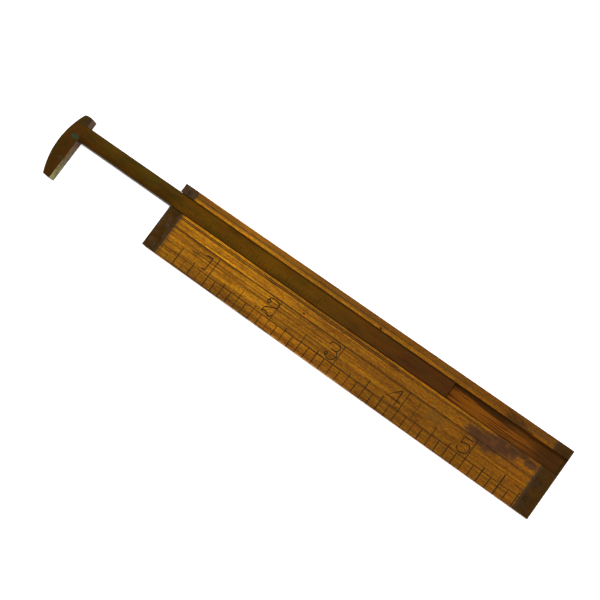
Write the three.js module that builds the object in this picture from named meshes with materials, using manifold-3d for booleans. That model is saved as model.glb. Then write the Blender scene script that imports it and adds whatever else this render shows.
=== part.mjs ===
// A six-inch boxwood caliper rule: a flat wooden stock with a brass cap on each end, and a
// brass slide with a jaw on it, which runs in a dovetail groove beside the scale.
//
// Millimetres, +Z up. The rule lies on its back with the scale facing up and the jaw at -X.
// Every shape is drawn in the rule's own measures: x from the fixed measuring face, y from
// the graduated edge and z from the underside. The last group moves all of it, so that the
// origin is the middle of the fixed measuring face.

import * as THREE from 'three';
import { mergeVertices } from 'three/addons/utils/BufferGeometryUtils.js';
import Module from 'manifold-3d';

const INCH = 25.4;

// The stock.
const STOCK_LENGTH = 6 * INCH;
const STOCK_WIDTH = 25;
const THICKNESS = 4.3;

// The dovetail groove and the slide in it.
const GROOVE_CENTRE_Y = 18.75;
const GROOVE_DEPTH = 2.1;
const SLIDE_LENGTH = STOCK_LENGTH;
const SLIDE_THICKNESS = 1.95;
const SLIDE_TOP_WIDTH = 5.6;
const SLIDE_BASE_WIDTH = 6.2;
const SIDE_PLAY = 0.15;

// The end caps, folded over the ends of the wood and let in flush.
const CAP_LENGTH = 5.5;
const CAP_END_THICKNESS = 0.9;
const CAP_PLATE_THICKNESS = 0.6;
const CAP_PIN_RADIUS = 0.65;
const CAP_PIN_FROM_END = 3.1;
const CAP_PIN_HEIGHTS = [2.15, 9.85, 22.95];

// The jaw: a straight measuring face with a round back, as wide as the stock.
const JAW_TOP_Y = 24.8;
const JAW_CROWN = 0.2;
const JAW_BACK_RADIUS = 28.25;
const JAW_BACK_CENTRE_Y = 12.7;
const JAW_DEPTH = 5.95;
const JAW_FACE_CORNER = 0.25;
const JAW_BACK_CORNER = 0.75;

// The tenon that holds the jaw on the slide, and its two rivets.
const TENON_LENGTH = 3.6;
const TENON_WIDTH = 5;
const TENON_THICKNESS = 1;
const RIVET_RADIUS = 0.55;
const RIVET_FROM_FACE = 2;
const RIVET_SPACING = 2.6;

// The pin in the groove's floor that stops the slide at both ends of its travel.
const MAX_OPENING = 4 * INCH;
const STOP_PIN_X = 12;
const STOP_PIN_RADIUS = 0.8;
const STOP_PIN_HEIGHT = 0.8;
const STOP_SLOT_DEPTH = 1.05;
const STOP_PLAY = 0.1;

const OPENING = 1.625 * INCH;
const FIT_GAP = 0.05;
const OVERCUT = 1;
const PIN_SIDES = 20;
const OUTLINE_SEGMENTS = 12;

const GROOVE_FLOOR_Z = THICKNESS - GROOVE_DEPTH;
const SLIDE_BASE_Z = THICKNESS - SLIDE_THICKNESS;
const ENDS = ['zero', 'far'];

const BOXWOOD = new THREE.MeshStandardMaterial({ color: 0x8f5a22, roughness: 0.55, metalness: 0 });
const CAP_BRASS = new THREE.MeshStandardMaterial({ color: 0x3c2814, roughness: 0.5, metalness: 0.8 });
const SLIDE_BRASS = new THREE.MeshStandardMaterial({ color: 0x5c4410, roughness: 0.45, metalness: 0.8 });
const JAW_BRASS = new THREE.MeshStandardMaterial({ color: 0x5a3c12, roughness: 0.5, metalness: 0.8 });
const PIN_BRASS = new THREE.MeshStandardMaterial({ color: 0x4a3820, roughness: 0.5, metalness: 0.8 });

const wasm = await Module();
wasm.setup();

/** The solid inside a closed geometry. */
function solidOf(geometry) {
  geometry.deleteAttribute('normal');
  geometry.deleteAttribute('uv');
  const merged = mergeVertices(geometry);
  return new wasm.Manifold(new wasm.Mesh({
    numProp: 3,
    vertProperties: new Float32Array(merged.attributes.position.array),
    triVerts: new Uint32Array(merged.index.array),
  }));
}

/** A geometry of a solid's surface. */
function geometryOf(solid) {
  const mesh = solid.getMesh();
  const geometry = new THREE.BufferGeometry();
  geometry.setAttribute('position', new THREE.BufferAttribute(mesh.vertProperties, 3));
  geometry.setIndex(new THREE.BufferAttribute(mesh.triVerts, 1));
  geometry.computeVertexNormals();
  return geometry;
}

/** A box between two opposite corners, whichever way round they come. */
function block(a, b) {
  const [low, high] = [new THREE.Vector3(...a), new THREE.Vector3(...b)];
  const size = high.clone().sub(low);
  const middle = low.clone().add(high).multiplyScalar(0.5);
  const geometry = new THREE.BoxGeometry(Math.abs(size.x), Math.abs(size.y), Math.abs(size.z));
  return solidOf(geometry.translate(middle.x, middle.y, middle.z));
}

/** An outline of [y, z] points drawn out along x. */
function barAlongX(outline, start, end) {
  const shape = new THREE.Shape(outline.map(([y, z]) => new THREE.Vector2(y, z)));
  const geometry = new THREE.ExtrudeGeometry(shape, { depth: end - start, bevelEnabled: false });
  const turn = new THREE.Matrix4().makeBasis(
    new THREE.Vector3(0, 1, 0),
    new THREE.Vector3(0, 0, 1),
    new THREE.Vector3(1, 0, 0),
  );
  return solidOf(geometry.applyMatrix4(turn).translate(start, 0, 0));
}

/** An upright round pin or the hole for one. */
function uprightPin(radius, x, y, bottom, top) {
  const geometry = new THREE.CylinderGeometry(radius, radius, top - bottom, PIN_SIDES);
  return solidOf(geometry.rotateX(Math.PI / 2).translate(x, y, (bottom + top) / 2));
}

/** A hole for a pin, right through the rule. */
function pinHole(radius, x, y) {
  return uprightPin(radius + FIT_GAP, x, y, -OVERCUT, THICKNESS + OVERCUT);
}

/** The x that lies a distance in from one end of the stock. */
function fromEnd(end, distance) {
  return end === 'zero' ? distance : STOCK_LENGTH - distance;
}

/** What the dovetail groove takes out of the stock and the caps, open at the top. */
function grooveCutter() {
  const floor = SLIDE_BASE_WIDTH / 2 + SIDE_PLAY;
  const mouth = SLIDE_TOP_WIDTH / 2 + SIDE_PLAY;
  const outline = [
    [GROOVE_CENTRE_Y - floor, GROOVE_FLOOR_Z],
    [GROOVE_CENTRE_Y + floor, GROOVE_FLOOR_Z],
    [GROOVE_CENTRE_Y + mouth, THICKNESS],
    [GROOVE_CENTRE_Y + mouth, THICKNESS + OVERCUT],
    [GROOVE_CENTRE_Y - mouth, THICKNESS + OVERCUT],
    [GROOVE_CENTRE_Y - mouth, THICKNESS],
  ];
  return barAlongX(outline, -OVERCUT, STOCK_LENGTH + OVERCUT);
}

/** The holes for one cap's pins, through the plates and the wood. */
function capPinHoles(end) {
  const x = fromEnd(end, CAP_PIN_FROM_END);
  return CAP_PIN_HEIGHTS.map((y) => pinHole(CAP_PIN_RADIUS, x, y));
}

/** What one cap's two plates take out of the wood. */
function plateRebates(end) {
  const outside = fromEnd(end, -OVERCUT);
  const shoulder = fromEnd(end, CAP_LENGTH + FIT_GAP);
  const depth = CAP_PLATE_THICKNESS + FIT_GAP;
  return [
    block([outside, -OVERCUT, THICKNESS - depth], [shoulder, STOCK_WIDTH + OVERCUT, THICKNESS + OVERCUT]),
    block([outside, -OVERCUT, -OVERCUT], [shoulder, STOCK_WIDTH + OVERCUT, depth]),
  ];
}

/** The boxwood, grooved from end to end and thinned at both ends for the caps. */
function stock() {
  const inset = CAP_END_THICKNESS + FIT_GAP;
  let wood = block([inset, 0, 0], [STOCK_LENGTH - inset, STOCK_WIDTH, THICKNESS]);
  wood = wood.subtract(grooveCutter());
  wood = wood.subtract(pinHole(STOP_PIN_RADIUS, STOP_PIN_X, GROOVE_CENTRE_Y));
  for (const end of ENDS) {
    for (const cut of [...plateRebates(end), ...capPinHoles(end)]) {
      wood = wood.subtract(cut);
    }
  }
  return wood;
}

/** One cap: a plate on each face and an end between them, with the groove cut through it. */
function cap(end) {
  const outer = fromEnd(end, 0);
  const inner = fromEnd(end, CAP_LENGTH);
  let brass = block([outer, 0, 0], [inner, STOCK_WIDTH, THICKNESS]);
  const pocket = block(
    [fromEnd(end, CAP_END_THICKNESS), -OVERCUT, CAP_PLATE_THICKNESS],
    [fromEnd(end, CAP_LENGTH + OVERCUT), STOCK_WIDTH + OVERCUT, THICKNESS - CAP_PLATE_THICKNESS],
  );
  for (const cut of [pocket, grooveCutter(), ...capPinHoles(end)]) {
    brass = brass.subtract(cut);
  }
  return brass;
}

/** The two rivet places, measured from the jaw's measuring face. */
function rivetPlaces() {
  return [-0.5, 0.5].map((side) => [-RIVET_FROM_FACE, GROOVE_CENTRE_Y + side * RIVET_SPACING]);
}

/** The tenon on the slide's end, or with play the mortise for it in the jaw. */
function tenon(play) {
  const middle = SLIDE_BASE_Z + SLIDE_THICKNESS / 2;
  const halfWidth = TENON_WIDTH / 2 + play;
  const halfThickness = TENON_THICKNESS / 2 + play;
  return block(
    [-TENON_LENGTH - play, GROOVE_CENTRE_Y - halfWidth, middle - halfThickness],
    [OVERCUT, GROOVE_CENTRE_Y + halfWidth, middle + halfThickness],
  );
}

/** The slot under the slide that the stop pin stands in. */
function stopSlot() {
  const halfWidth = STOP_PIN_RADIUS + STOP_PLAY;
  return block(
    [STOP_PIN_X - halfWidth, GROOVE_CENTRE_Y - halfWidth, SLIDE_BASE_Z - OVERCUT],
    [STOP_PIN_X + MAX_OPENING + halfWidth, GROOVE_CENTRE_Y + halfWidth, SLIDE_BASE_Z + STOP_SLOT_DEPTH],
  );
}

/** The slide: a dovetail bar with a tenon at the jaw's end and the slot below. */
function slideBar() {
  const outline = [
    [GROOVE_CENTRE_Y - SLIDE_BASE_WIDTH / 2, SLIDE_BASE_Z],
    [GROOVE_CENTRE_Y + SLIDE_BASE_WIDTH / 2, SLIDE_BASE_Z],
    [GROOVE_CENTRE_Y + SLIDE_TOP_WIDTH / 2, THICKNESS],
    [GROOVE_CENTRE_Y - SLIDE_TOP_WIDTH / 2, THICKNESS],
  ];
  let bar = barAlongX(outline, FIT_GAP, SLIDE_LENGTH).add(tenon(0)).subtract(stopSlot());
  for (const [x, y] of rivetPlaces()) {
    bar = bar.subtract(pinHole(RIVET_RADIUS, x, y));
  }
  return bar;
}

/** The jaw seen from above: straight measuring face, round back, crowned top end. */
function jawOutline() {
  const centreX = JAW_BACK_RADIUS - JAW_DEPTH;
  const endAngle = (y) => Math.PI - Math.asin((y - JAW_BACK_CENTRE_Y) / JAW_BACK_RADIUS);
  const backX = (y) => centreX + JAW_BACK_RADIUS * Math.cos(endAngle(y));
  const shape = new THREE.Shape();
  shape.moveTo(0, 0);
  shape.lineTo(0, JAW_TOP_Y - JAW_FACE_CORNER);
  shape.quadraticCurveTo(0, JAW_TOP_Y, -JAW_FACE_CORNER, JAW_TOP_Y);
  shape.quadraticCurveTo(
    backX(JAW_TOP_Y) / 2, JAW_TOP_Y + JAW_CROWN,
    backX(JAW_TOP_Y) + JAW_BACK_CORNER, JAW_TOP_Y,
  );
  const shoulderY = JAW_TOP_Y - JAW_BACK_CORNER;
  shape.quadraticCurveTo(backX(JAW_TOP_Y), JAW_TOP_Y, backX(shoulderY), shoulderY);
  shape.absarc(
    centreX, JAW_BACK_CENTRE_Y, JAW_BACK_RADIUS,
    endAngle(shoulderY), endAngle(0), false,
  );
  return shape;
}

/** The jaw, as thick as the stock, with the mortise and the rivet holes. */
function jaw() {
  const outline = jawOutline().getPoints(OUTLINE_SEGMENTS);
  const geometry = new THREE.ExtrudeGeometry(new THREE.Shape(outline), {
    depth: THICKNESS,
    bevelEnabled: false,
  });
  let head = solidOf(geometry).subtract(tenon(FIT_GAP));
  for (const [x, y] of rivetPlaces()) {
    head = head.subtract(pinHole(RIVET_RADIUS, x, y));
  }
  return head;
}

/** A named mesh of a solid. */
function piece(name, solid, material) {
  const mesh = new THREE.Mesh(geometryOf(solid), material);
  mesh.name = name;
  return mesh;
}

/** The three pins of one cap, flush with both faces. */
function capPins(end) {
  const x = fromEnd(end, CAP_PIN_FROM_END);
  return CAP_PIN_HEIGHTS.map((y, i) => {
    const pin = uprightPin(CAP_PIN_RADIUS, x, y, 0, THICKNESS);
    return piece(`${end}_cap_pin_${i + 1}`, pin, PIN_BRASS);
  });
}

/** The slide, its jaw and the rivets between them, with x from the measuring face. */
function slideGroup() {
  const group = new THREE.Group();
  group.add(piece('slide_bar', slideBar(), SLIDE_BRASS));
  group.add(piece('jaw_head', jaw(), JAW_BRASS));
  rivetPlaces().forEach(([x, y], i) => {
    const rivet = uprightPin(RIVET_RADIUS, x, y, 0, THICKNESS);
    group.add(piece(`jaw_rivet_${i + 1}`, rivet, PIN_BRASS));
  });
  return group;
}

/** The whole rule, opened by a distance. */
function caliperRule(opening) {
  const rule = new THREE.Group();
  rule.add(piece('boxwood_stock', stock(), BOXWOOD));
  for (const end of ENDS) {
    rule.add(piece(`${end}_end_cap`, cap(end), CAP_BRASS));
    rule.add(...capPins(end));
  }
  const stopPinTop = GROOVE_FLOOR_Z + STOP_PIN_HEIGHT;
  const stopPin = uprightPin(STOP_PIN_RADIUS, STOP_PIN_X, GROOVE_CENTRE_Y, 0, stopPinTop);
  rule.add(piece('slide_stop_pin', stopPin, PIN_BRASS));

  const slide = slideGroup();
  slide.position.x = -opening;
  rule.add(slide);
  return rule;
}

const measuringFaceMiddleY = (GROOVE_CENTRE_Y - SLIDE_BASE_WIDTH / 2 - SIDE_PLAY) / 2;
const model = caliperRule(OPENING);
model.position.set(0, -measuringFaceMiddleY, -THICKNESS / 2);

export default model;
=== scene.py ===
"""The looks of a six-inch boxwood caliper rule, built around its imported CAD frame.

Everything is in metres in the frame's own axes. Marks and stains are placed in the rule's
measures instead: millimetres from the zero end, from the graduated edge and from the back.
"""

import math
import random

import bmesh
import bpy
from mathutils import Matrix, Vector


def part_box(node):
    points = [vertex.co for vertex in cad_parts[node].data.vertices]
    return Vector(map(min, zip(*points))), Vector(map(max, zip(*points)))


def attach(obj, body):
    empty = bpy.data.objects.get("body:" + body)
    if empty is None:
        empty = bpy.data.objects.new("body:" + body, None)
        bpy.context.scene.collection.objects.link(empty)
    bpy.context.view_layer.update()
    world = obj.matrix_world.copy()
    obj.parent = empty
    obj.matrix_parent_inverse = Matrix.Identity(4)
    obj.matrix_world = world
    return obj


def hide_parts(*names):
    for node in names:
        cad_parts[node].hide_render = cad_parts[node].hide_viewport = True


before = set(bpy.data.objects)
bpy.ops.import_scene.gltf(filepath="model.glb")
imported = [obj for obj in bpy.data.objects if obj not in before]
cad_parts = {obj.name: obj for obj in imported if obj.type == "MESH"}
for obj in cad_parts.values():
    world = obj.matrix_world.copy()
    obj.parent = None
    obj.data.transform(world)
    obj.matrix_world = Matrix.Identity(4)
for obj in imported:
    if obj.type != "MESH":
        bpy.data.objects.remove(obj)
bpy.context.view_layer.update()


def corners(node):
    """The low and the high corner of a CAD node's box, in metres."""
    return tuple(Vector(corner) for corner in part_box(node))


MM = 0.001
INCH = 25.4
WELD = 1e-6

# Places that come from the frame, in metres. The slide's marks move with its own zero.
CAP_LOW, CAP_HIGH = corners("zero_end_cap")
BAR_LOW, BAR_HIGH = corners("slide_bar")
FAR_END_X = corners("far_end_cap")[1].x
JAW_FACE_X = corners("jaw_head")[1].x
RULE_ZERO = CAP_LOW.copy()
SLIDE_ZERO = Vector((JAW_FACE_X, CAP_LOW.y, CAP_LOW.z))

# The same places in the rule's measures, in millimetres.
LENGTH = (FAR_END_X - CAP_LOW.x) / MM
WIDTH = (CAP_HIGH.y - CAP_LOW.y) / MM
THICKNESS = (CAP_HIGH.z - CAP_LOW.z) / MM
CAP_LENGTH = (CAP_HIGH.x - CAP_LOW.x) / MM
FAR_CAP_X = LENGTH - CAP_LENGTH
SLIDE_BASE_LOW_Y = (BAR_LOW.y - CAP_LOW.y) / MM
SLIDE_BASE_HIGH_Y = (BAR_HIGH.y - CAP_LOW.y) / MM
SLIDE_CENTRE_Y = (SLIDE_BASE_LOW_Y + SLIDE_BASE_HIGH_Y) / 2
SLIDE_FLARE = 0.3
SLIDE_TOP_LOW_Y = SLIDE_BASE_LOW_Y + SLIDE_FLARE
SLIDE_TOP_HIGH_Y = SLIDE_BASE_HIGH_Y - SLIDE_FLARE
SLIDE_REACH = (BAR_HIGH.x - JAW_FACE_X) / MM
SIDE_PLAY = 0.15
GROOVE_LOW_Y = SLIDE_TOP_LOW_Y - SIDE_PLAY
GROOVE_HIGH_Y = SLIDE_TOP_HIGH_Y + SIDE_PLAY
GROOVE_FLOOR_LOW_Y = SLIDE_BASE_LOW_Y - SIDE_PLAY
GROOVE_FLOOR_HIGH_Y = SLIDE_BASE_HIGH_Y + SIDE_PLAY
GROOVE_DEPTH = 2.1
FIT_GAP = 0.05
PLATE_DEPTH = 0.65
OVERCUT = 1.0

# How far edges are rounded by wear, and how far the pins spread and lie below the brass.
OUTER_WEAR = 0.3
MOUTH_WEAR = 0.12
BAR_WEAR = 0.1
CAP_WEAR = 0.12
JAW_WEAR = 0.18
KEEP_REACH = 0.8
PIN_SPREAD = 0.035
PIN_SUNK = 0.004
STOP_PIN_SUNK = 0.05
PIN_CHAMFER = 0.03
PIN_DISH = 0.01

# The marks on the wood.
SCALE_LINE_Y = 11.0
TICK_LINE_Y = 3.9
LOWER_SCORES_Y = (14.35, 14.85)
UPPER_SCORES_Y = (23.1, 23.35)
SHORT_SCORE_Y = 5.97
SHORT_SCORE_X = (5.8, 12.5)
SCORE_OVERRUN = 0.4
FIRST_EIGHTH, LAST_EIGHTH = 2, 46
TICK_HEIGHTS = {8: 11.0, 4: 6.8, 2: 5.1, 1: 3.9}
TICK_OVERRUN = 0.3
FAINT_TICKS = {2: 0.45, 3: 0.5, 4: 1.25, 5: 0.55, 7: 0.7, 42: 1.2, 44: 1.2}
DIGIT_BASE_Y = 4.75
MARK_RADIUS = 0.17
DIGIT_RADIUS = 0.20
UPPER_SCORE_RADIUS = 0.07
SCRATCH_RADIUS = 0.09
SCORE_RADIUS = 0.13

# The marks on the slide.
SLIDE_SCALE_INCHES = 4
SLIDE_TICK_HEIGHTS = {32: 3.4, 16: 2.8, 8: 2.3, 4: 1.9, 2: 1.5, 1: 1.15}
SLIDE_TICK_OVERRUN = 0.2
SLIDE_MARK_RADIUS = 0.065
SLIDE_WORN_TO = 45.0
WORN_MARK = 0.6

# The camera, with its places in the rule's measures.
CAMERA_PLACE = (159.6, -19.5, 397.0 + THICKNESS)
CAMERA_TARGET = (55.35, 14.77, THICKNESS)
CAMERA_ROLL = math.radians(-36.27)
LENS = 77.0
LENS_SHIFT = 0.5 / 600

FLOOR_SIZE = 6.0
FLOOR_GAP = 0.1 * MM

random.seed(5)


# ---------------------------------------------------------------- camera, light and floor


def add_camera():
    """The camera, above the far end of the rule and turned so that the rule runs downhill."""
    place = Vector(CAMERA_PLACE) * MM + RULE_ZERO
    target = Vector(CAMERA_TARGET) * MM + RULE_ZERO
    forward = (target - place).normalized()
    across = Vector((0, 1, 0)) - forward * forward.y
    across.normalize()
    up = across * math.cos(CAMERA_ROLL) + forward.cross(across) * math.sin(CAMERA_ROLL)
    right = forward.cross(up)
    data = bpy.data.cameras.new("camera")
    data.lens = LENS
    data.sensor_width = 36.0
    data.shift_x, data.shift_y = -LENS_SHIFT, LENS_SHIFT
    data.clip_start = 0.01
    camera = bpy.data.objects.new("camera", data)
    turn = Matrix((right, up, -forward)).transposed().to_4x4()
    camera.matrix_world = Matrix.Translation(place) @ turn
    bpy.context.scene.collection.objects.link(camera)
    bpy.context.scene.camera = camera


def add_softbox(name, place, size, power):
    """A square area light that faces the rule, a third of the way along it."""
    data = bpy.data.lights.new(name, "AREA")
    data.shape = "SQUARE"
    data.size = size
    data.energy = power
    light = bpy.data.objects.new(name, data)
    middle = Vector((LENGTH / 3, WIDTH / 2, 0)) * MM + RULE_ZERO
    light.location = middle + Vector(place)
    light.rotation_euler = (-Vector(place)).to_track_quat("-Z", "Y").to_euler()
    bpy.context.scene.collection.objects.link(light)


def add_studio():
    """Soft white light that comes mostly from the groove's side."""
    world = bpy.data.worlds.new("studio")
    world.use_nodes = True
    background = world.node_tree.nodes["Background"]
    background.inputs["Color"].default_value = (1, 1, 1, 1)
    background.inputs["Strength"].default_value = 1.0
    bpy.context.scene.world = world
    bpy.context.scene.view_settings.view_transform = "Standard"
    add_softbox("key", (0.10, 0.38, 0.75), 0.55, 2.6)
    add_softbox("side", (0.75, 0.05, 0.35), 0.45, 0.9)


def add_floor():
    """A plain pale floor, which is clear from below so that the underside can be looked at."""
    bpy.ops.mesh.primitive_plane_add(size=FLOOR_SIZE)
    floor = bpy.context.object
    floor.name = "floor"
    floor.location.z = RULE_ZERO.z - FLOOR_GAP
    paper = bpy.data.materials.new("pale_floor")
    paper.use_nodes = True
    nodes, links = paper.node_tree.nodes, paper.node_tree.links
    surface = nodes["Principled BSDF"]
    surface.inputs["Base Color"].default_value = (0.93, 0.93, 0.93, 1)
    surface.inputs["Roughness"].default_value = 0.9
    surface.inputs["Specular IOR Level"].default_value = 0.1
    surface.inputs["Emission Color"].default_value = (1, 1, 1, 1)
    surface.inputs["Emission Strength"].default_value = 0.6
    either = nodes.new("ShaderNodeMixShader")
    links.new(nodes.new("ShaderNodeNewGeometry").outputs["Backfacing"], either.inputs[0])
    links.new(surface.outputs[0], either.inputs[1])
    links.new(nodes.new("ShaderNodeBsdfTransparent").outputs[0], either.inputs[2])
    links.new(either.outputs[0], nodes["Material Output"].inputs["Surface"])
    floor.data.materials.append(paper)


# ---------------------------------------------------------------- how a material is written


class Shader:
    """A material being built. Its place is in millimetres, counted from a given zero."""

    def __init__(self, name, zero, **sockets):
        self.material = bpy.data.materials.new(name)
        self.material.use_nodes = True
        self.tree = self.material.node_tree
        self.surface = self.tree.nodes["Principled BSDF"]
        for socket, value in sockets.items():
            self.surface.inputs[socket.replace("_", " ")].default_value = value
        local = self.node("ShaderNodeTexCoord").outputs["Object"]
        shifted = self.vector("SUBTRACT", local, tuple(zero))
        self.place = self.vector("MULTIPLY", shifted, (1 / MM,) * 3)
        split = self.node("ShaderNodeSeparateXYZ", Vector=self.place)
        self.x, self.y, self.z = split.outputs

    def node(self, kind, settings=None, **inputs):
        """A new node with its settings and inputs."""
        made = self.tree.nodes.new(kind)
        for key, value in (settings or {}).items():
            setattr(made, key, value)
        for key, value in inputs.items():
            self.feed(made.inputs[key.replace("_", " ")], value)
        return made

    def feed(self, socket, value):
        """Links another node's output to a socket, or sets the socket's value."""
        if isinstance(value, bpy.types.NodeSocket):
            self.tree.links.new(value, socket)
        else:
            socket.default_value = value

    def vector(self, operation, a, b):
        made = self.node("ShaderNodeVectorMath", {"operation": operation})
        self.feed(made.inputs[0], a)
        self.feed(made.inputs[1], b)
        return made.outputs["Vector"]

    def math(self, operation, a, b=0.0):
        made = self.node("ShaderNodeMath", {"operation": operation})
        self.feed(made.inputs[0], a)
        self.feed(made.inputs[1], b)
        return made.outputs[0]

    def both(self, *masks):
        """The product of masks: 1 where all of them are 1."""
        product = masks[0]
        for mask in masks[1:]:
            product = self.math("MULTIPLY", product, mask)
        return product

    def either(self, *masks):
        """The highest of masks: 1 where any of them is 1."""
        highest = masks[0]
        for mask in masks[1:]:
            highest = self.math("MAXIMUM", highest, mask)
        return highest

    def ease(self, value, low, high, to_low=0.0, to_high=1.0):
        """A smooth step between two values."""
        made = self.node("ShaderNodeMapRange", {"interpolation_type": "SMOOTHSTEP"})
        for socket, number in zip(made.inputs, (value, low, high, to_low, to_high)):
            self.feed(socket, number)
        return made.outputs[0]

    def noise(self, per_mm, detail=3.0, rough=0.55, twist=0.0):
        """Noise with its own frequency along each axis, from 0 to 1."""
        at = self.vector("MULTIPLY", self.place, per_mm)
        made = self.node(
            "ShaderNodeTexNoise",
            Vector=at, Scale=1.0, Detail=detail, Roughness=rough, Distortion=twist,
        )
        return made.outputs["Fac"]

    def ramp(self, value, stops):
        """Colours or greys at positions from 0 to 1."""
        made = self.node("ShaderNodeValToRGB", Fac=value)
        points = made.color_ramp.elements
        while len(points) < len(stops):
            points.new(0.5)
        for point, (position, _) in zip(points, stops):
            point.position = position
        for point, (_, colour) in zip(points, stops):
            rgb = colour if isinstance(colour, tuple) else (colour,) * 3
            point.color = (*rgb, 1)
        return made.outputs["Color"]

    def mix(self, factor, a, b, blend="MIX"):
        made = self.node("ShaderNodeMix", {"data_type": "RGBA", "blend_type": blend})
        self.feed(made.inputs[0], factor)
        for socket, colour in ((made.inputs[6], a), (made.inputs[7], b)):
            self.feed(socket, (*colour, 1) if isinstance(colour, tuple) else colour)
        return made.outputs[2]

    def tint(self, factor, base, colour):
        """The base multiplied by a colour, as far as the factor says."""
        return self.mix(factor, base, colour, "MULTIPLY")

    def spot(self, x, y, half_x, half_y, ragged=0.4, grain=(0.5, 0.9, 0.5), soft=0.35):
        """1 inside an uneven ellipse on the face and 0 outside it."""
        dx = self.math("DIVIDE", self.math("SUBTRACT", self.x, x), half_x)
        dy = self.math("DIVIDE", self.math("SUBTRACT", self.y, y), half_y)
        squares = (self.math("POWER", dx, 2.0), self.math("POWER", dy, 2.0))
        far = self.math("SQRT", self.math("ADD", *squares))
        uneven = self.math("SUBTRACT", self.noise(grain, 4.0), 0.5)
        wander = self.math("MULTIPLY", uneven, ragged * 4)
        return self.ease(self.math("ADD", far, wander), 1.0 - soft, 1.0 + soft, 1.0, 0.0)

    def band(self, value, middle, half, soft):
        """1 where a value is near a middle and 0 away from it."""
        off = self.math("ABSOLUTE", self.math("SUBTRACT", value, middle))
        return self.ease(off, half, half + soft, 1.0, 0.0)

    def faces(self, axis, low=0.55, high=0.85):
        """1 where the surface faces along an axis."""
        normal = self.node("ShaderNodeNewGeometry").outputs["Normal"]
        turned = self.node(
            "ShaderNodeVectorTransform",
            {"vector_type": "NORMAL", "convert_from": "WORLD", "convert_to": "OBJECT"},
            Vector=normal,
        )
        dot = self.node("ShaderNodeVectorMath", {"operation": "DOT_PRODUCT"})
        self.feed(dot.inputs[0], turned.outputs[0])
        self.feed(dot.inputs[1], axis)
        return self.ease(dot.outputs["Value"], low, high)

    def finish(self, colour, roughness, height, depth_mm):
        """Joins the colour, the roughness and the bump height to the surface."""
        self.feed(self.surface.inputs["Base Color"], colour)
        self.feed(self.surface.inputs["Roughness"], roughness)
        bump = self.node("ShaderNodeBump", Strength=1.0, Distance=depth_mm * MM, Height=height)
        self.feed(self.surface.inputs["Normal"], bump.outputs["Normal"])
        return self.material


# ---------------------------------------------------------------- the wood


# Aged boxwood from the zero end to the far end.
WOOD_ALONG = [
    (0.0, (0.385, 0.162, 0.0038)),
    (0.30, (0.360, 0.150, 0.0038)),
    (0.50, (0.226, 0.091, 0.0028)),
    (0.75, (0.205, 0.079, 0.0013)),
    (1.0, (0.214, 0.080, 0.0010)),
]

# How clean the wood is from the graduated edge to the groove, and from the groove to the back.
LOWER_CLEANNESS = [
    (0.0, 0.36), (0.015, 0.56), (0.12, 0.62), (0.155, 0.66), (0.18, 0.86), (0.415, 0.86),
    (0.435, 0.62), (0.452, 1.02),
]
UPPER_CLEANNESS = [
    (0.555, 1.02), (0.568, 0.84), (0.600, 0.84), (0.610, 1.25), (0.632, 1.18), (0.866, 1.15),
    (0.875, 1.15), (0.882, 1.12), (0.896, 1.12), (0.906, 0.74), (0.930, 0.88), (0.945, 0.70),
    (0.960, 0.84), (1.0, 0.62),
]

# How clean the rail behind the groove is, from the zero end to the far end.
RAIL_CLEANNESS = [
    (0.04, 0.80), (0.12, 0.85), (0.18, 1.28), (0.25, 1.0), (0.38, 0.72), (0.47, 0.95),
    (0.57, 1.08), (0.8, 1.0),
]

# The dark stain near the far end, as (x, y, half length, half width), and its shades.
STAIN_LOBES = [
    (124.7, 12.3, 3.3, 1.7), (129.2, 11.9, 4.6, 2.6), (134.4, 13.7, 5.5, 2.8),
    (139.4, 15.0, 3.4, 1.2), (144.0, 13.9, 2.3, 1.4),
]
STAIN_SHADES = [
    (0.36, (0.044, 0.016, 0.005)), (0.52, (0.056, 0.021, 0.007)), (0.68, (0.078, 0.029, 0.009)),
]

GROOVE_SHADES = [
    (0.38, (0.250, 0.086, 0.0)), (0.49, (0.185, 0.057, 0.0)), (0.58, (0.075, 0.022, 0.0)),
]
INK_SHADES = [
    (0.35, (0.020, 0.010, 0.003)), (0.55, (0.038, 0.016, 0.003)), (0.72, (0.095, 0.038, 0.003)),
]


def wood_colour(s):
    """Aged boxwood: amber at the zero end and browner at the far end, streaked lengthwise."""
    colour = s.ramp(s.math("DIVIDE", s.x, LENGTH), WOOD_ALONG)
    bold = s.both(s.ease(s.x, 40.0, 110.0, 0.9, 0.55), s.ease(s.y, 20.0, 21.5, 1.0, 0.55))
    dark = s.ease(s.noise((0.035, 1.5, 1.5), 5.0, 0.62, 0.25), 0.46, 0.62)
    colour = s.tint(s.both(dark, bold), colour, (0.46, 0.41, 0.6))
    pale = s.ease(s.noise((0.03, 1.2, 1.2), 4.0, 0.6, 0.3), 0.50, 0.66)
    colour = s.tint(s.both(pale, bold), colour, (1.75, 1.85, 1.3))
    dash = s.ease(s.noise((0.45, 4.5, 4.5), 3.0, 0.6), 0.48, 0.62, 0.0, 0.62)
    colour = s.tint(dash, colour, (0.50, 0.46, 0.7))
    fleck = s.ease(s.noise((1.2, 2.6, 2.6), 2.0, 0.6), 0.44, 0.58)
    colour = s.tint(fleck, colour, (0.72, 0.69, 0.82))
    russet = s.ease(s.noise((0.9, 2.0, 2.0), 3.0, 0.6), 0.50, 0.66)
    colour = s.tint(russet, colour, (1.12, 0.80, 0.8))
    blotch = s.ease(s.noise((0.11, 0.25, 0.25), 4.0, 0.6), 0.48, 0.72)
    return s.tint(blotch, colour, (0.74, 0.72, 0.8))


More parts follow.
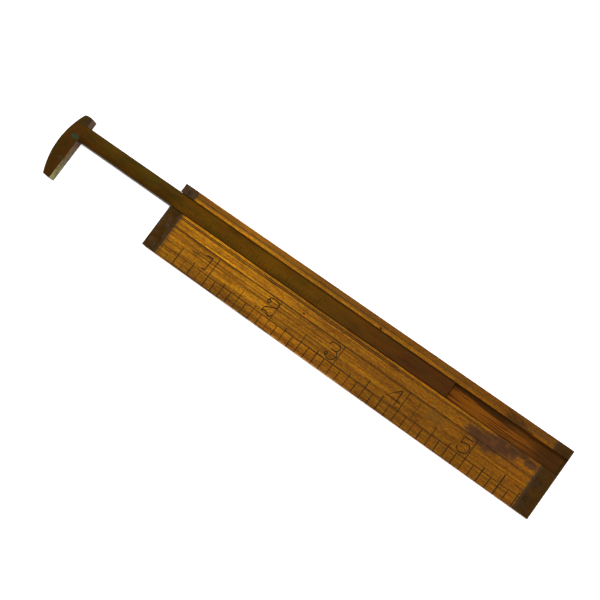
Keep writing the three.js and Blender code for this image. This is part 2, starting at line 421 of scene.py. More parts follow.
def soiled_bands(s, colour):
    """Dirt in lengthwise bands, which fades towards the far end."""
    across = s.math("DIVIDE", s.y, WIDTH)
    for cleanness, far_strength in ((LOWER_CLEANNESS, 0.38), (UPPER_CLEANNESS, 0.72)):
        fade = s.ease(s.x, 60.0, 125.0, 1.0, far_strength)
        colour = s.tint(s.both(s.faces((0, 0, 1)), fade), colour, s.ramp(across, cleanness))
    dark_rail = s.both(s.ease(s.y, 21.3, 21.8), s.ease(s.x, 118.0, 132.0, 0.0, 0.8))
    colour = s.tint(dark_rail, colour, (0.70, 0.66, 0.6))
    dull_rail = s.both(s.ease(s.y, 22.5, 22.8), s.ease(s.x, 55.0, 90.0, 0.4, 0.0))
    return s.mix(dull_rail, colour, (0.200, 0.086, 0.012))


def handled_and_shaded_stretches(s, colour):
    """Stretches along the grain that hands have cleaned or soiled, and painted shade along part of
    the lower arris.
    """
    clean = s.both(
        s.ease(s.y, 3.4, 4.2, 1.0, 0.0), s.band(s.x, 65.0, 15.0, 10.0), s.faces((0, 0, 1)),
    )
    colour = s.tint(clean, colour, (1.65, 1.55, 1.1))
    pale_stripe = s.both(s.band(s.y, 15.5, 0.25, 0.15), s.band(s.x, 103.0, 18.0, 10.0))
    colour = s.tint(pale_stripe, colour, (1.25, 1.25, 0.9))
    far_stripe = s.both(s.band(s.y, 14.6, 0.5, 0.2), s.ease(s.x, 80.0, 88.0, 0.0, 0.8))
    colour = s.tint(far_stripe, colour, (1.35, 1.38, 1.2))
    dark_stripe = s.both(s.band(s.y, 15.5, 0.25, 0.15), s.band(s.x, 52.0, 14.0, 6.0))
    colour = s.tint(dark_stripe, colour, (0.72, 0.74, 0.9))
    line = s.both(s.band(s.y, SCALE_LINE_Y, 0.12, 0.2), s.ease(s.x, 60.0, 75.0, 0.6, 0.15))
    colour = s.mix(line, colour, (0.085, 0.034, 0.004))
    # Painted shade along part of the lower arris.
    lower_arris_shade = s.both(s.ease(s.y, 0.3, 1.0, 0.75, 0.0), s.band(s.x, 32.0, 18.0, 6.0))
    return s.mix(lower_arris_shade, colour, (0.070, 0.026, 0.004))


def aged_rail(s, colour):
    """The narrow rail behind the groove, unevenly clean and with grey streaks."""
    cleanness = s.ramp(s.math("DIVIDE", s.x, LENGTH), RAIL_CLEANNESS)
    colour = s.tint(s.ease(s.y, 21.3, 21.8), colour, cleanness)
    grey = s.ease(s.noise((0.06, 2.6, 2.6), 4.0, 0.62), 0.48, 0.60, 0.0, 0.6)
    return s.mix(s.both(grey, s.ease(s.y, 22.6, 23.0)), colour, (0.125, 0.058, 0.011))


def soiled_and_shaded_edges(s, colour):
    """Dirt against both caps and along the upper edge, and painted shade along the lower edge."""
    at_caps = s.either(s.band(s.x, CAP_LENGTH, 0.1, 1.3), s.band(s.x, FAR_CAP_X, 0.1, 1.0))
    colour = s.mix(s.both(at_caps, 0.6), colour, (0.062, 0.028, 0.006))
    # Painted shade along the lower edge's arris, all along the rule.
    colour = s.tint(s.ease(s.y, 0.2, 0.9, 0.5, 0.0), colour, (0.70, 0.64, 0.6))
    return s.tint(s.ease(s.y, 23.4, 23.8), colour, (0.90, 0.82, 0.62))


def bare_and_highlit_arrises(s, colour):
    """Pale bare wood on the two outer arrises, where hands have rubbed them; on the upper arris it is
    also a painted highlight.
    """
    # The upper arris is rubbed wood and a painted highlight; the lower one is rubbed wood.
    high = s.both(s.band(s.y, WIDTH - 0.1, 0.1, 0.1), s.band(s.x, 30.0, 17.0, 6.0))
    low = s.both(s.band(s.y, 0.1, 0.06, 0.1), s.band(s.x, 58.0, 22.0, 8.0))
    patchy = s.ease(s.noise((0.25, 1.0, 1.0), 4.0, 0.6), 0.35, 0.55, 0.0, 0.85)
    rubbed_and_highlit = s.both(s.either(high, low), s.faces((0, 0, 1), 0.1, 0.5), patchy)
    return s.mix(rubbed_and_highlit, colour, (0.46, 0.25, 0.08))


def stains(s, colour):
    """The dark stain near the far end, the patch above the groove and small marks."""
    stain = s.either(*(s.spot(*lobe, 0.28) for lobe in STAIN_LOBES))
    shade = s.ramp(s.noise((0.45, 0.8, 0.8), 4.0, 0.6), STAIN_SHADES)
    colour = s.mix(s.both(stain, 0.94), colour, shade)
    patch = s.either(s.spot(132.6, 22.7, 3.8, 1.1, 0.4), s.spot(136.5, 21.9, 3.0, 0.5, 0.4))
    colour = s.mix(s.both(patch, 0.85), colour, (0.042, 0.017, 0.002))
    smudge = s.either(s.spot(112.5, 8.8, 3.6, 1.7, 0.5), s.spot(17.5, 7.8, 2.2, 1.0, 0.5))
    return s.mix(s.both(smudge, 0.4), colour, (0.085, 0.040, 0.006))


def groove_colour(s, colour):
    """The groove's floor: orange brown, with painted shadow and dirt under its upper wall, painted
    shade near the far cap and a thin line of painted shade along its lower side.
    """
    sunken = s.ease(s.z, THICKNESS - 1.9, THICKNESS - 1.6, 1.0, 0.0)
    half_width = GROOVE_FLOOR_HIGH_Y - SLIDE_CENTRE_Y
    inside = s.both(sunken, s.band(s.y, SLIDE_CENTRE_Y, half_width, 0.05))
    orange = s.ramp(s.noise((0.08, 2.1, 2.1), 4.0, 0.62, 0.3), GROOVE_SHADES)
    floor = s.mix(inside, colour, s.mix(0.35, orange, colour, "OVERLAY"))
    # Painted shadow of the upper wall, mixed with dirt, on the floor's upper side.
    waver = s.math("MULTIPLY", s.noise((0.12, 0.8, 0.8), 4.0), 1.4)
    shadow_y = s.math("ADD", s.ease(s.x, 113.0, 132.0, 20.7, 19.5), waver)
    past_shadow_y = s.math("SUBTRACT", s.y, s.math("SUBTRACT", shadow_y, 0.7))
    upper = s.both(s.ease(past_shadow_y, -0.25, 0.15), s.ease(s.x, 128.0, 137.0, 0.92, 0.5))
    # Painted shade on the floor towards the far cap.
    far = s.ease(s.x, 134.0, 146.0, 0.0, 0.85)
    # A thin line of painted shade along the floor's lower side, under the overhang.
    lower = s.band(s.y, 15.9, 0.25, 0.25)
    return s.mix(s.both(s.either(upper, far, lower), inside), floor, (0.036, 0.012, 0.0))


def wood_material():
    """The scale's side carries all the wear and dirt, and the painted shade, shadow and highlight.
    The back is plain and a little darker.
    """
    s = Shader("aged_boxwood", RULE_ZERO, Specular_IOR_Level=0.05)
    plain = wood_colour(s)
    colour = plain
    for layer in (
        soiled_bands, handled_and_shaded_stretches, aged_rail, soiled_and_shaded_edges, bare_and_highlit_arrises, stains, groove_colour,
    ):
        colour = layer(s, colour)
    back = s.faces((0, 0, -1))
    colour = s.mix(back, colour, s.tint(back, plain, (0.80, 0.76, 0.75)))
    rough = s.ease(s.noise((0.2, 1.4, 1.4), 4.0), 0.3, 0.7, 0.40, 0.62)
    pores = s.noise((0.5, 9.0, 9.0), 4.0, 0.65)
    waves = s.noise((0.05, 1.1, 1.1), 3.0, 0.6)
    height = s.math("ADD", s.math("MULTIPLY", pores, 0.5), waves)
    return s.finish(colour, rough, height, 0.10)


def ink_material():
    """Black filling of the wood's marks, worn through to brown in places."""
    s = Shader("worn_ink", RULE_ZERO, Specular_IOR_Level=0.1)
    wear = s.noise((0.45, 0.45, 0.45), 3.0, 0.6)
    faded = s.both(s.ease(s.y, 13.0, 14.0), s.ease(s.x, 70.0, 120.0))
    colour = s.tint(faded, s.ramp(wear, INK_SHADES), (2.2, 2.0, 1.5))
    rough = s.ease(wear, 0.3, 0.7, 0.6, 0.8)
    return s.finish(colour, rough, s.noise((6.0, 6.0, 6.0), 3.0), 0.03)


# ---------------------------------------------------------------- the brass


# The slide out of the groove, from its lower edge to its upper edge.
FREE_SLIDE_SHADES = [
    (0.0, (0.82, 0.76, 0.15)), (0.5, (0.86, 1.02, 1.4)), (1.0, (1.08, 1.32, 2.2)),
]

# The jaw's measuring face, rubbed bare and with a painted reflection, from its tip to the slide.
BARE_AND_LIT_JAW_SHADES = [
    (0.0, (0.17, 0.15, 0.046)), (0.14, (0.145, 0.135, 0.040)), (0.34, (0.070, 0.046, 0.008)),
    (0.54, (0.096, 0.050, 0.016)), (0.63, (0.066, 0.027, 0.009)), (0.80, (0.056, 0.019, 0.002)),
]

SLIDE_DIRT_SHADES = [(0.4, (0.008, 0.005, 0.001)), (0.7, (0.030, 0.014, 0.001))]


def patina(name, zero, dark, middle, warm, along=0.10):
    """Old brass under an uneven brown skin, with fine lengthwise scratches."""
    s = Shader(name, zero, Metallic=0.8, Specular_IOR_Level=0.1)
    cloud = s.noise((along, 0.35, 0.35), 5.0, 0.62, 0.4)
    colour = s.ramp(cloud, [(0.32, dark), (0.5, middle), (0.68, warm)])
    speck = s.noise((1.6, 1.6, 1.6), 3.0, 0.65)
    colour = s.tint(s.ease(speck, 0.52, 0.75), colour, (0.72, 0.70, 0.8))
    scratch = s.noise((0.15, 14.0, 14.0), 2.0, 0.5)
    colour = s.tint(s.ease(scratch, 0.58, 0.78), colour, (1.22, 1.22, 1.3))
    uneven = s.math("ADD", cloud, s.math("MULTIPLY", speck, 0.4))
    rough = s.ease(uneven, 0.5, 0.95, 0.42, 0.62)
    height = s.math("ADD", s.math("MULTIPLY", scratch, 0.25), s.math("MULTIPLY", speck, 0.8))
    return s, colour, rough, height


def slide_material():
    """Olive brown brass: reddish at both ends and in rusty clouds, with grime and painted shade along
    its edges, widest by the upper edge where it lies in the groove.
    """
    s, colour, rough, height = patina(
        "slide_patina", SLIDE_ZERO,
        (0.038, 0.019, 0.0010), (0.058, 0.027, 0.0010), (0.080, 0.033, 0.0010),
    )
    colour = s.tint(s.ease(s.x, 38.0, 46.0), colour, (1.38, 1.33, 1.0))
    free = s.ease(s.x, 38.0, 46.0, 1.0, 0.0)
    colour = s.tint(free, colour, s.ramp(s.ease(s.y, 16.0, 21.5), FREE_SLIDE_SHADES))
    cloud = s.ease(s.noise((0.12, 0.45, 0.45), 4.0, 0.6), 0.46, 0.60)
    rust = s.either(
        s.both(cloud, s.ease(s.x, 36.0, 46.0, 1.0, 0.8)), s.ease(s.x, 3.0, 12.0, 1.0, 0.0),
    )
    colour = s.tint(rust, colour, (1.12, 0.86, 0.9))
    red_end = s.ease(s.x, 82.0, SLIDE_REACH - 6.0)
    colour = s.tint(red_end, colour, (0.58, 0.47, 2.4))
    # Grime and painted shade along both edges; the wider band by the upper edge inside the groove is
    # painted shade from the groove's wall.
    lower = s.band(s.y, SLIDE_TOP_LOW_Y, 0.1, 0.3)
    in_groove = s.both(s.band(s.y, SLIDE_TOP_HIGH_Y, 0.32, 0.2), s.ease(s.x, 40.0, 46.0))
    upper = s.band(s.y, SLIDE_TOP_HIGH_Y, 0.1, 0.2)
    grime_and_shade = s.both(s.either(lower, in_groove, upper), 0.75)
    colour = s.tint(grime_and_shade, colour, (0.42, 0.44, 0.7))
    return s.finish(colour, rough, height, 0.02)


def jaw_material():
    """Reddish brown brass with olive zones, verdigris and a rubbed measuring face that carries a
    painted reflection.
    """
    s, colour, rough, height = patina(
        "jaw_patina", SLIDE_ZERO,
        (0.036, 0.018, 0.0018), (0.050, 0.019, 0.0014), (0.070, 0.022, 0.0012), 0.35,
    )
    olive = s.either(s.ease(s.y, 12.0, 17.0), s.ease(s.x, -5.0, -3.4, 1.0, 0.0))
    colour = s.tint(s.both(olive, 0.8), colour, (1.10, 1.24, 1.4))
    colour = s.tint(s.band(s.y, 18.4, 1.6, 1.2), colour, (1.18, 1.04, 1.0))
    colour = s.tint(s.ease(s.y, 20.5, 21.5), colour, (0.86, 1.08, 2.0))
    fine = (1.1, 1.1, 1.1)
    verdigris = s.either(
        s.spot(-1.6, 16.6, 1.35, 0.75, 0.3, fine), s.spot(-0.9, 7.7, 0.9, 0.5, 0.5, fine),
    )
    strength = s.ease(s.y, 9.0, 14.0, 0.3, 0.9)
    colour = s.mix(s.both(verdigris, strength), colour, (0.020, 0.052, 0.028))
    purple = s.spot(-0.6, 23.3, 1.2, 1.1, 0.4, (0.9, 0.9, 0.9))
    colour = s.mix(s.both(purple, 0.6), colour, (0.034, 0.020, 0.014))
    stained = s.ease(s.noise((0.8, 0.55, 0.55), 4.0, 0.62), 0.46, 0.62)
    # The measuring face: brass rubbed bare, with a painted reflection that is palest at the tip.
    bare_and_lit = s.ramp(s.math("DIVIDE", s.y, WIDTH), BARE_AND_LIT_JAW_SHADES)
    bare_and_lit = s.tint(stained, bare_and_lit, (0.62, 0.52, 0.5))
    rubbed_and_highlit = s.both(s.faces((1, 0, 0)), s.band(s.x, 0.0, 0.12, 0.2))
    colour = s.mix(s.both(rubbed_and_highlit, 0.9), colour, bare_and_lit)
    return s.finish(colour, rough, height, 0.03)


def cap_material(name, zero, pins):
    """Dark brown brass with bluish clouds, mostly at the zero end, and marks over its pins."""
    s, colour, rough, height = patina(
        name, zero,
        (0.032, 0.014, 0.0022), (0.048, 0.021, 0.0026), (0.068, 0.029, 0.0030), 0.35,
    )
    cloud = s.ease(s.noise((0.45, 0.35, 0.3), 4.0, 0.6), 0.50, 0.62)
    cloud = s.both(cloud, s.ease(s.x, 20.0, 130.0, 0.75, 0.2))
    zero_corner = s.both(s.ease(s.y, 20.5, 22.0), s.ease(s.x, 20.0, 21.0, 0.55, 0.0))
    colour = s.mix(s.either(cloud, zero_corner), colour, (0.058, 0.035, 0.021))
    colour = s.tint(s.ease(s.x, 20.0, 130.0), colour, (0.74, 0.74, 0.78))
    inner_edge = s.either(
        s.band(s.x, CAP_LENGTH - 0.2, 0.15, 0.35), s.band(s.x, FAR_CAP_X + 0.2, 0.15, 0.35),
    )
    colour = s.mix(s.both(inner_edge, 0.6), colour, (0.042, 0.032, 0.020))
    for x, y in pins:
        shade = (0.016, 0.008, 0.004) if y > WIDTH / 2 else (0.044, 0.035, 0.030)
        strength = 0.45 if x < WIDTH else 0.12
        mark = s.spot(x, y, 0.85, 0.85, 0.3, (1.5, 1.5, 1.5))
        colour = s.mix(s.both(mark, strength), colour, shade)
    return s.finish(colour, rough, height, 0.03)


def pin_material():
    s, colour, rough, height = patina(
        "pin_patina", RULE_ZERO,
        (0.034, 0.018, 0.008), (0.040, 0.021, 0.009), (0.048, 0.023, 0.009), 1.0,
    )
    return s.finish(colour, rough, height, 0.02)


def slide_mark_material():
    """Dirt in the slide's fine ticks."""
    s = Shader("slide_tick_dirt", SLIDE_ZERO, Metallic=0.2, Specular_IOR_Level=0.1)
    wear = s.noise((0.25, 0.6, 0.6), 3.0)
    colour = s.ramp(wear, SLIDE_DIRT_SHADES)
    return s.finish(colour, s.ease(wear, 0.3, 0.7, 0.5, 0.7), wear, 0.01)


# ---------------------------------------------------------------- mesh helpers


def new_object(name, mesh):
    """An object in the scene."""
    made = bpy.data.objects.new(name, mesh)
    bpy.context.scene.collection.objects.link(made)
    return made


def cad_copy(node, name):
    """A new object with a CAD node's mesh, its coplanar triangles joined into whole faces."""
    bm = bmesh.new()
    bm.from_mesh(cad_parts[node].data)
    bmesh.ops.remove_doubles(bm, verts=bm.verts, dist=WELD)
    bmesh.ops.dissolve_limit(bm, angle_limit=math.radians(0.5), verts=bm.verts, edges=bm.edges)
    mesh = bpy.data.meshes.new(name)
    bm.to_mesh(mesh)
    bm.free()
    return new_object(name, mesh)


def apply_modifiers(obj):
    """Puts the result of the object's modifiers into its mesh."""
    graph = bpy.context.evaluated_depsgraph_get()
    mesh = bpy.data.meshes.new_from_object(obj.evaluated_get(graph), depsgraph=graph)
    obj.modifiers.clear()
    obj.data = mesh


def round_edges(obj, width_mm, segments=2, angle=35, keep=()):
    """Rounds every edge sharper than an angle, except near the kept [x, y] places."""
    bm = bmesh.new()
    bm.from_mesh(obj.data)
    chosen = []
    for edge in bm.edges:
        middle = (edge.verts[0].co + edge.verts[1].co) / 2
        near = any(math.hypot(middle.x - x, middle.y - y) < KEEP_REACH * MM for x, y in keep)
        if len(edge.link_faces) == 2 and edge.calc_face_angle() > math.radians(angle) and not near:
            chosen.append(edge)
    bmesh.ops.bevel(
        bm, geom=chosen, offset=width_mm * MM, offset_type="OFFSET", segments=segments,
        profile=0.5, affect="EDGES", clamp_overlap=True,
    )
    bm.to_mesh(obj.data)
    bm.free()


def smooth_by_angle(obj, angle=35):
    """Shades rounded edges smooth and keeps flat faces flat."""
    obj.data.polygons.foreach_set("use_smooth", [True] * len(obj.data.polygons))
    obj.data.set_sharp_from_angle(angle=math.radians(angle))
    weighted = obj.modifiers.new("normals", "WEIGHTED_NORMAL")
    weighted.weight = 100
    weighted.keep_sharp = True
    apply_modifiers(obj)


def cut_away(obj, cutters):
    """Takes the cutters out of the object, which keeps their material inside the cuts."""
    for cutter in cutters:
        cut = obj.modifiers.new("cut", "BOOLEAN")
        cut.operation = "DIFFERENCE"
        cut.solver = "EXACT"
        cut.use_self = True
        cut.material_mode = "TRANSFER"
        cut.object = cutter
        apply_modifiers(obj)
        bpy.data.objects.remove(cutter)


def tube(bm, points, radius, sides=8):
    """A closed round tube along points in one flat plane. It is a ring if its ends meet."""
    looped = (points[0] - points[-1]).length < WELD
    path = points[:-1] if looped else points
    count = len(path)
    sections = []
    for i, point in enumerate(path):
        before = path[i - 1] if i or looped else point
        after = path[(i + 1) % count] if i < count - 1 or looped else point
        along = (after - before).normalized()
        side = Vector((-along.y, along.x, 0))
        turns = [2 * math.pi * (k + 0.5) / sides for k in range(sides)]
        arms = [side * math.cos(turn) + Vector((0, 0, math.sin(turn))) for turn in turns]
        sections.append([bm.verts.new(point + arm * radius) for arm in arms])
    pairs = list(zip(sections, sections[1:]))
    if looped:
        pairs.append((sections[-1], sections[0]))
    else:
        bm.faces.new(reversed(sections[0]))
        bm.faces.new(sections[-1])
    for first, second in pairs:
        for k in range(sides):
            bm.faces.new((first[k - 1], first[k], second[k], second[k - 1]))


def tube_cutter(name, strokes, zero, material):
    """Round strokes along the face, which cut rounded marks. A stroke is (radius, points)."""
    bm = bmesh.new()
    for radius, points in strokes:
        path = [Vector((x, y, THICKNESS)) * MM + zero for x, y in points]
        tube(bm, path, radius * MM)
    mesh = bpy.data.meshes.new(name)
    bm.to_mesh(mesh)
    bm.free()
    mesh.materials.append(material)
    return new_object(name, mesh)


def pit_cutter(name, pits, zero, material):
    """Small shallow dents. A pit is (x, y, half length, half width, depth)."""
    bm = bmesh.new()
    for x, y, long, wide, deep in pits:
        centre = Vector((x, y, THICKNESS)) * MM + zero
        shape = Matrix.Translation(centre) @ Matrix.Diagonal((long * MM, wide * MM, deep * MM, 1))
        bmesh.ops.create_icosphere(bm, subdivisions=2, radius=1.0, matrix=shape)
    mesh = bpy.data.meshes.new(name)
    bm.to_mesh(mesh)
    bm.free()
    mesh.materials.append(material)
    return new_object(name, mesh)


# ---------------------------------------------------------------- marks on the wood


def curved(*points):
    """A smooth stroke that its points lead."""
    for _ in range(3):
        cut = [points[0]]
        for (ax, ay), (bx, by) in zip(points, points[1:]):
            cut.append((ax * 0.75 + bx * 0.25, ay * 0.75 + by * 0.25))
            cut.append((ax * 0.25 + bx * 0.75, ay * 0.25 + by * 0.75))
        cut.append(points[-1])
        points = cut
    return points


def ring(x, y, radius, steps=10):
    """A small closed loop."""
    turns = [2 * math.pi * i / steps for i in range(steps)]
    loop = [(x + radius * math.cos(turn), y + radius * math.sin(turn)) for turn in turns]
    return loop + loop[:1]


# Each digit's left side on the scale, and its strokes from there and from the digits' base.
DIGITS = {
    1: (21.2, [
        [(-0.3, 4.3), (0.0, 4.7), (2.0, 4.9), (1.9, 0.1), (0.5, 0.05)],
        [(0.0, 4.6), (1.9, 4.75)],
        [(0.6, 0.2), (1.9, 0.25)],
    ]),
    2: (46.0, [
        ring(1.1, 4.1, 0.58),
        curved((0.6, 4.5), (1.1, 5.6), (4.1, 5.6), (5.2, 3.8), (2.9, 2.8), (0.8, 1.9), (0.7, 0.2)),
        curved((0.7, 0.4), (1.8, 1.1), (2.9, 0.2), (3.9, -0.2), (4.6, 0.8)),
    ]),
    3: (71.5, [
        curved((0.2, 4.1), (0.1, 5.2), (2.0, 5.4), (4.0, 5.2), (3.6, 3.2), (1.1, 2.9)),
        curved((1.1, 2.9), (3.6, 3.2), (4.4, 1.6), (3.2, -0.1), (1.6, -0.1), (0.5, 0.5)),
        ring(0.65, 1.15, 0.5),
    ]),
    4: (95.6, [
        [(3.5, 5.0), (0.1, 1.5), (5.1, 1.55)],
        [(3.82, 5.3), (3.9, 0.05)],
    ]),
    5: (122.4, [
        [(3.75, 4.85), (0.65, 4.75), (0.6, 2.6)],
        curved((0.6, 2.6), (1.5, 3.2), (4.0, 3.3), (4.1, 0.6), (2.4, -0.1), (0.6, 0.1), (0.2, 1.1)),
    ]),
}


def wavering(x0, x1, y, step=9.0, off=0.035):
    """A scored line lengthwise, with the slight waver of a hand-guided scriber."""
    count = max(2, round((x1 - x0) / step) + 1)
    xs = [x0 + (x1 - x0) * i / (count - 1) for i in range(count)]
    return [(x, y + random.uniform(-off, off)) for x in xs]


def inch_ticks():
    """Eighth-inch ticks from the graduated edge, each as tall as its place on the scale."""
    strokes = []
    for eighth in range(FIRST_EIGHTH, LAST_EIGHTH + 1):
        height = next(h for step, h in TICK_HEIGHTS.items() if eighth % step == 0)
        wear = FAINT_TICKS.get(eighth, 1.0)
        x = eighth * INCH / 8 + random.uniform(-0.06, 0.06)
        lean = random.uniform(-0.05, 0.05)
        top = height + random.uniform(-0.1, 0.25)
        radius = MARK_RADIUS * random.uniform(0.75, 1.1) * wear
        strokes.append((radius, [(x, -TICK_OVERRUN), (x + lean, top)]))
    return strokes


def digit_strokes():
    """The digits' strokes on the scale."""
    return [
        (DIGIT_RADIUS, [(x0 + x, DIGIT_BASE_Y + y) for x, y in points])
        for x0, strokes in DIGITS.values()
        for points in strokes
    ]


def score_strokes():
    """The scored lines between the caps."""
    x0 = CAP_LENGTH - SCORE_OVERRUN
    x1 = FAR_CAP_X + SCORE_OVERRUN
    rows = (*LOWER_SCORES_Y, SCALE_LINE_Y, TICK_LINE_Y)
    deep = [wavering(x0, x1, y) for y in rows] + [wavering(*SHORT_SCORE_X, SHORT_SCORE_Y)]
    fine = [wavering(x0, x1, y) for y in UPPER_SCORES_Y]
    return [(SCORE_RADIUS, line) for line in deep] + [(UPPER_SCORE_RADIUS, line) for line in fine]


def stray_scratches():
    """A fine scratch beside the 4 and an open arrowhead before the 1."""
    return [
        (SCRATCH_RADIUS, [(106.1, 4.8), (106.2, 10.4)]),
        (SCORE_RADIUS, [(18.6, 8.5), (16.2, 7.7), (17.9, 6.9)]),
    ]


def wood_pits():
    """Nicks in the wood. The long one is chipped out of the edge beside the groove."""
    return [
        (58.8, 12.0, 0.45, 0.28, 0.2),
        (81.9, 22.15, 0.6, 0.3, 0.22),
        (101.5, 24.9, 0.9, 0.3, 0.3),
        (63.0, 24.95, 0.5, 0.2, 0.2),
        (44.0, -0.02, 0.7, 0.22, 0.25),
        (118.0, 0.0, 0.5, 0.2, 0.2),
        (92.0, 16.9, 0.3, 0.15, 0.15),
        (33.5, 8.9, 0.2, 0.15, 0.1),
    ]


def rounded_corner(corner, before, after, radius, steps=4):
    """Points of a small round on a corner of an outline, from the side before to the side after."""
    a = (Vector(before) - Vector(corner)).normalized() * radius
    b = (Vector(after) - Vector(corner)).normalized() * radius
    points = []
    for i in range(steps + 1):
        t = i / steps
        points.append(Vector(corner) + a * (1 - t) ** 2 + b * t**2)
    return points


def wood_profile():
    """The stock's section as [y, z], with worn outer corners and a dovetail groove."""
    groove_floor = THICKNESS - GROOVE_DEPTH
    corners = [
        ((0.0, 0.0), OUTER_WEAR), ((WIDTH, 0.0), OUTER_WEAR), ((WIDTH, THICKNESS), OUTER_WEAR),
        ((GROOVE_HIGH_Y, THICKNESS), MOUTH_WEAR), ((GROOVE_FLOOR_HIGH_Y, groove_floor), 0.0),
        ((GROOVE_FLOOR_LOW_Y, groove_floor), 0.0), ((GROOVE_LOW_Y, THICKNESS), MOUTH_WEAR),
        ((0.0, THICKNESS), OUTER_WEAR),
    ]
    outline = []
    for i, (corner, radius) in enumerate(corners):
        before = corners[i - 1][0]
        after = corners[(i + 1) % len(corners)][0]
        outline += rounded_corner(corner, before, after, radius) if radius else [Vector(corner)]
    return outline


def bar_along_x(name, outline, x0, x1, zero):
    """A closed bar with a [y, z] section in the rule's measures."""
    bm = bmesh.new()
    loops = []
    for x in (x0, x1):
        loops.append([bm.verts.new(Vector((x, y, z)) * MM + zero) for y, z in outline])
    count = len(outline)
    for i in range(count):
        j = (i + 1) % count
        bm.faces.new((loops[0][i], loops[0][j], loops[1][j], loops[1][i]))
    bm.faces.new(reversed(loops[0]))
    bm.faces.new(loops[1])
    bmesh.ops.recalc_face_normals(bm, faces=bm.faces)
    mesh = bpy.data.meshes.new(name)
    bm.to_mesh(mesh)
    bm.free()
    return new_object(name, mesh)


def hole_cutter(name, node):
    """A hole a little wider than a CAD pin, right through the stock."""
    low, high = corners(node)
    bm = bmesh.new()
    place = Matrix.Translation(((low.x + high.x) / 2, (low.y + high.y) / 2, (low.z + high.z) / 2))
    radius = (high.x - low.x) / 2 + FIT_GAP * MM
    bmesh.ops.create_cone(
        bm, cap_ends=True, segments=24, radius1=radius, radius2=radius,
        depth=2 * THICKNESS * MM, matrix=place,
    )
    mesh = bpy.data.meshes.new(name)
    bm.to_mesh(mesh)
    bm.free()
    return new_object(name, mesh)


def rebate_cutters():
    """Room in the wood for the plates of both caps."""
    lengths = ((-OVERCUT, CAP_LENGTH + FIT_GAP), (FAR_CAP_X - FIT_GAP, LENGTH + OVERCUT))
    depths = ((-OVERCUT, PLATE_DEPTH), (THICKNESS - PLATE_DEPTH, THICKNESS + OVERCUT))
    y0, y1 = -OVERCUT, WIDTH + OVERCUT
    return [
        bar_along_x("rebate", [(y0, z0), (y1, z0), (y1, z1), (y0, z1)], x0, x1, RULE_ZERO)
        for x0, x1 in lengths
        for z0, z1 in depths
    ]


def cap_pins(end):
    """The names of one cap's CAD pins."""
    return [f"{end}_cap_pin_{i}" for i in (1, 2, 3)]


def make_wood(wood, ink):
    """The stock, with its rebates and pin holes, and with the marks cut into its face."""
    low, high = ((corner - RULE_ZERO) / MM for corner in corners("boxwood_stock"))
    stock = bar_along_x("boxwood_body", wood_profile(), low.x, high.x, RULE_ZERO)
    stock.data.materials.append(wood)
    pins = cap_pins("zero") + cap_pins("far") + ["slide_stop_pin"]
    plain = rebate_cutters() + [hole_cutter("pin_hole", node) for node in pins]
    for cutter in plain:
        cutter.data.materials.append(wood)
    cut_away(stock, plain)
    marks = inch_ticks() + digit_strokes() + stray_scratches()
    cut_away(stock, [
        tube_cutter("marks", marks, RULE_ZERO, ink),
        tube_cutter("scores", score_strokes(), RULE_ZERO, ink),
        pit_cutter("pits", wood_pits(), RULE_ZERO, ink),
    ])
    smooth_by_angle(stock)
    return stock


# ---------------------------------------------------------------- brass pieces


def slide_ticks():
    """Thirty-seconds of an inch along the slide's lower edge."""
    strokes = []
    for part in range(1, 32 * SLIDE_SCALE_INCHES + 1):
        height = next(h for step, h in SLIDE_TICK_HEIGHTS.items() if part % step == 0)
        x = part * INCH / 32
        top = SLIDE_TOP_LOW_Y + height + random.uniform(-0.12, 0.12)
        radius = SLIDE_MARK_RADIUS * (1.0 if x > SLIDE_WORN_TO else WORN_MARK)
        strokes.append((radius, [(x, SLIDE_TOP_LOW_Y - SLIDE_TICK_OVERRUN), (x, top)]))
    return strokes


def make_slide(brass, dirt):
    """The slide with worn edges and its fine ticks."""
    bar = cad_copy("slide_bar", "brass_slide")
    bar.data.materials.append(brass)
    round_edges(bar, BAR_WEAR)
    cut_away(bar, [tube_cutter("ticks", slide_ticks(), SLIDE_ZERO, dirt)])
    smooth_by_angle(bar)
    return bar


def make_rounded(node, name, material, width_mm, pins):
    """A brass piece of the CAD's shape with worn edges. Its pins' holes stay sharp."""
    made = cad_copy(node, name)
    made.data.materials.append(material)
    middles = [(low + high) / 2 for low, high in map(corners, pins)]
    round_edges(made, width_mm, 3, keep=[(middle.x, middle.y) for middle in middles])
    smooth_by_angle(made)
    return made


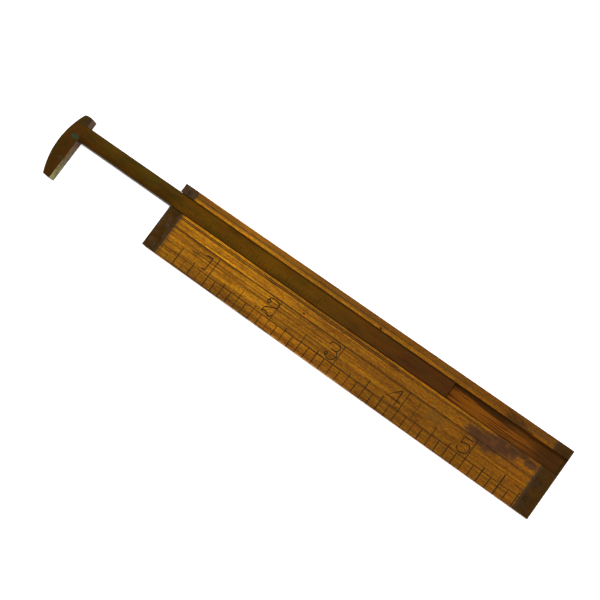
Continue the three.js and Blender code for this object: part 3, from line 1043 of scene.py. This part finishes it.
def make_pin(node, name, material, sunk_mm):
    """A pin filed off just below the brass, with a chamfer and a shallow dish in each end."""
    low, high = corners(node)
    centre = (low + high) / 2
    radius = (high.x - low.x) / 2 + PIN_SPREAD * MM
    bottom, top = low.z + sunk_mm * MM, high.z - sunk_mm * MM
    chamfer, dish = PIN_CHAMFER * MM, PIN_DISH * MM
    profile = [
        (0.0, bottom + dish), (radius * 0.5, bottom + dish * 0.4), (radius - chamfer, bottom),
        (radius, bottom + chamfer), (radius, top - chamfer), (radius - chamfer, top),
        (radius * 0.5, top - dish * 0.4), (0.0, top - dish),
    ]
    bm = bmesh.new()
    verts = [bm.verts.new((centre.x + r, centre.y, z)) for r, z in profile]
    edges = [bm.edges.new(pair) for pair in zip(verts, verts[1:])]
    bmesh.ops.spin(
        bm, geom=verts + edges, cent=(centre.x, centre.y, 0), axis=(0, 0, 1),
        angle=2 * math.pi, steps=28, use_merge=True,
    )
    bmesh.ops.remove_doubles(bm, verts=bm.verts, dist=WELD)
    bmesh.ops.recalc_face_normals(bm, faces=bm.faces)
    mesh = bpy.data.meshes.new(name)
    bm.to_mesh(mesh)
    bm.free()
    mesh.materials.append(material)
    made = new_object(name, mesh)
    smooth_by_angle(made, 50)
    return made


def cap_pin_places(end):
    """Where one cap's pins stand on the face, in the rule's measures."""
    places = []
    for low, high in map(corners, cap_pins(end)):
        middle = ((low + high) / 2 - RULE_ZERO) / MM
        places.append((middle.x, middle.y))
    return places


# ---------------------------------------------------------------- the whole rule


def settle(piece, body, node):
    """Says which body a piece rides on, which CAD node it replaces."""
    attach(piece, body)
    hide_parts(node)


def build_stock():
    """Everything that stands still: the wood, both caps and all their pins."""
    settle(make_wood(wood_material(), ink_material()), "stock", "boxwood_stock")
    for end in ("zero", "far"):
        patinated = cap_material(f"{end}_cap_patina", RULE_ZERO, cap_pin_places(end))
        node = f"{end}_end_cap"
        cap = make_rounded(node, f"{end}_cap_brass", patinated, CAP_WEAR, cap_pins(end))
        settle(cap, "stock", node)
        for i, node in enumerate(cap_pins(end), start=1):
            pin = make_pin(node, f"{end}_pin_{i}", patinated, PIN_SUNK)
            settle(pin, "stock", node)
    stop_pin = make_pin("slide_stop_pin", "stop_pin", pin_material(), STOP_PIN_SUNK)
    settle(stop_pin, "stock", "slide_stop_pin")


def build_slide():
    """Everything that slides: the bar, the jaw and its rivets."""
    bar = make_slide(slide_material(), slide_mark_material())
    settle(bar, "slide", "slide_bar")
    patinated = jaw_material()
    rivets = ["jaw_rivet_1", "jaw_rivet_2"]
    jaw = make_rounded("jaw_head", "brass_jaw", patinated, JAW_WEAR, rivets)
    settle(jaw, "slide", "jaw_head")
    for i, node in enumerate(rivets, start=1):
        rivet = make_pin(node, f"rivet_{i}", patinated, PIN_SUNK)
        settle(rivet, "slide", node)


add_camera()
add_studio()
add_floor()
build_stock()
build_slide()
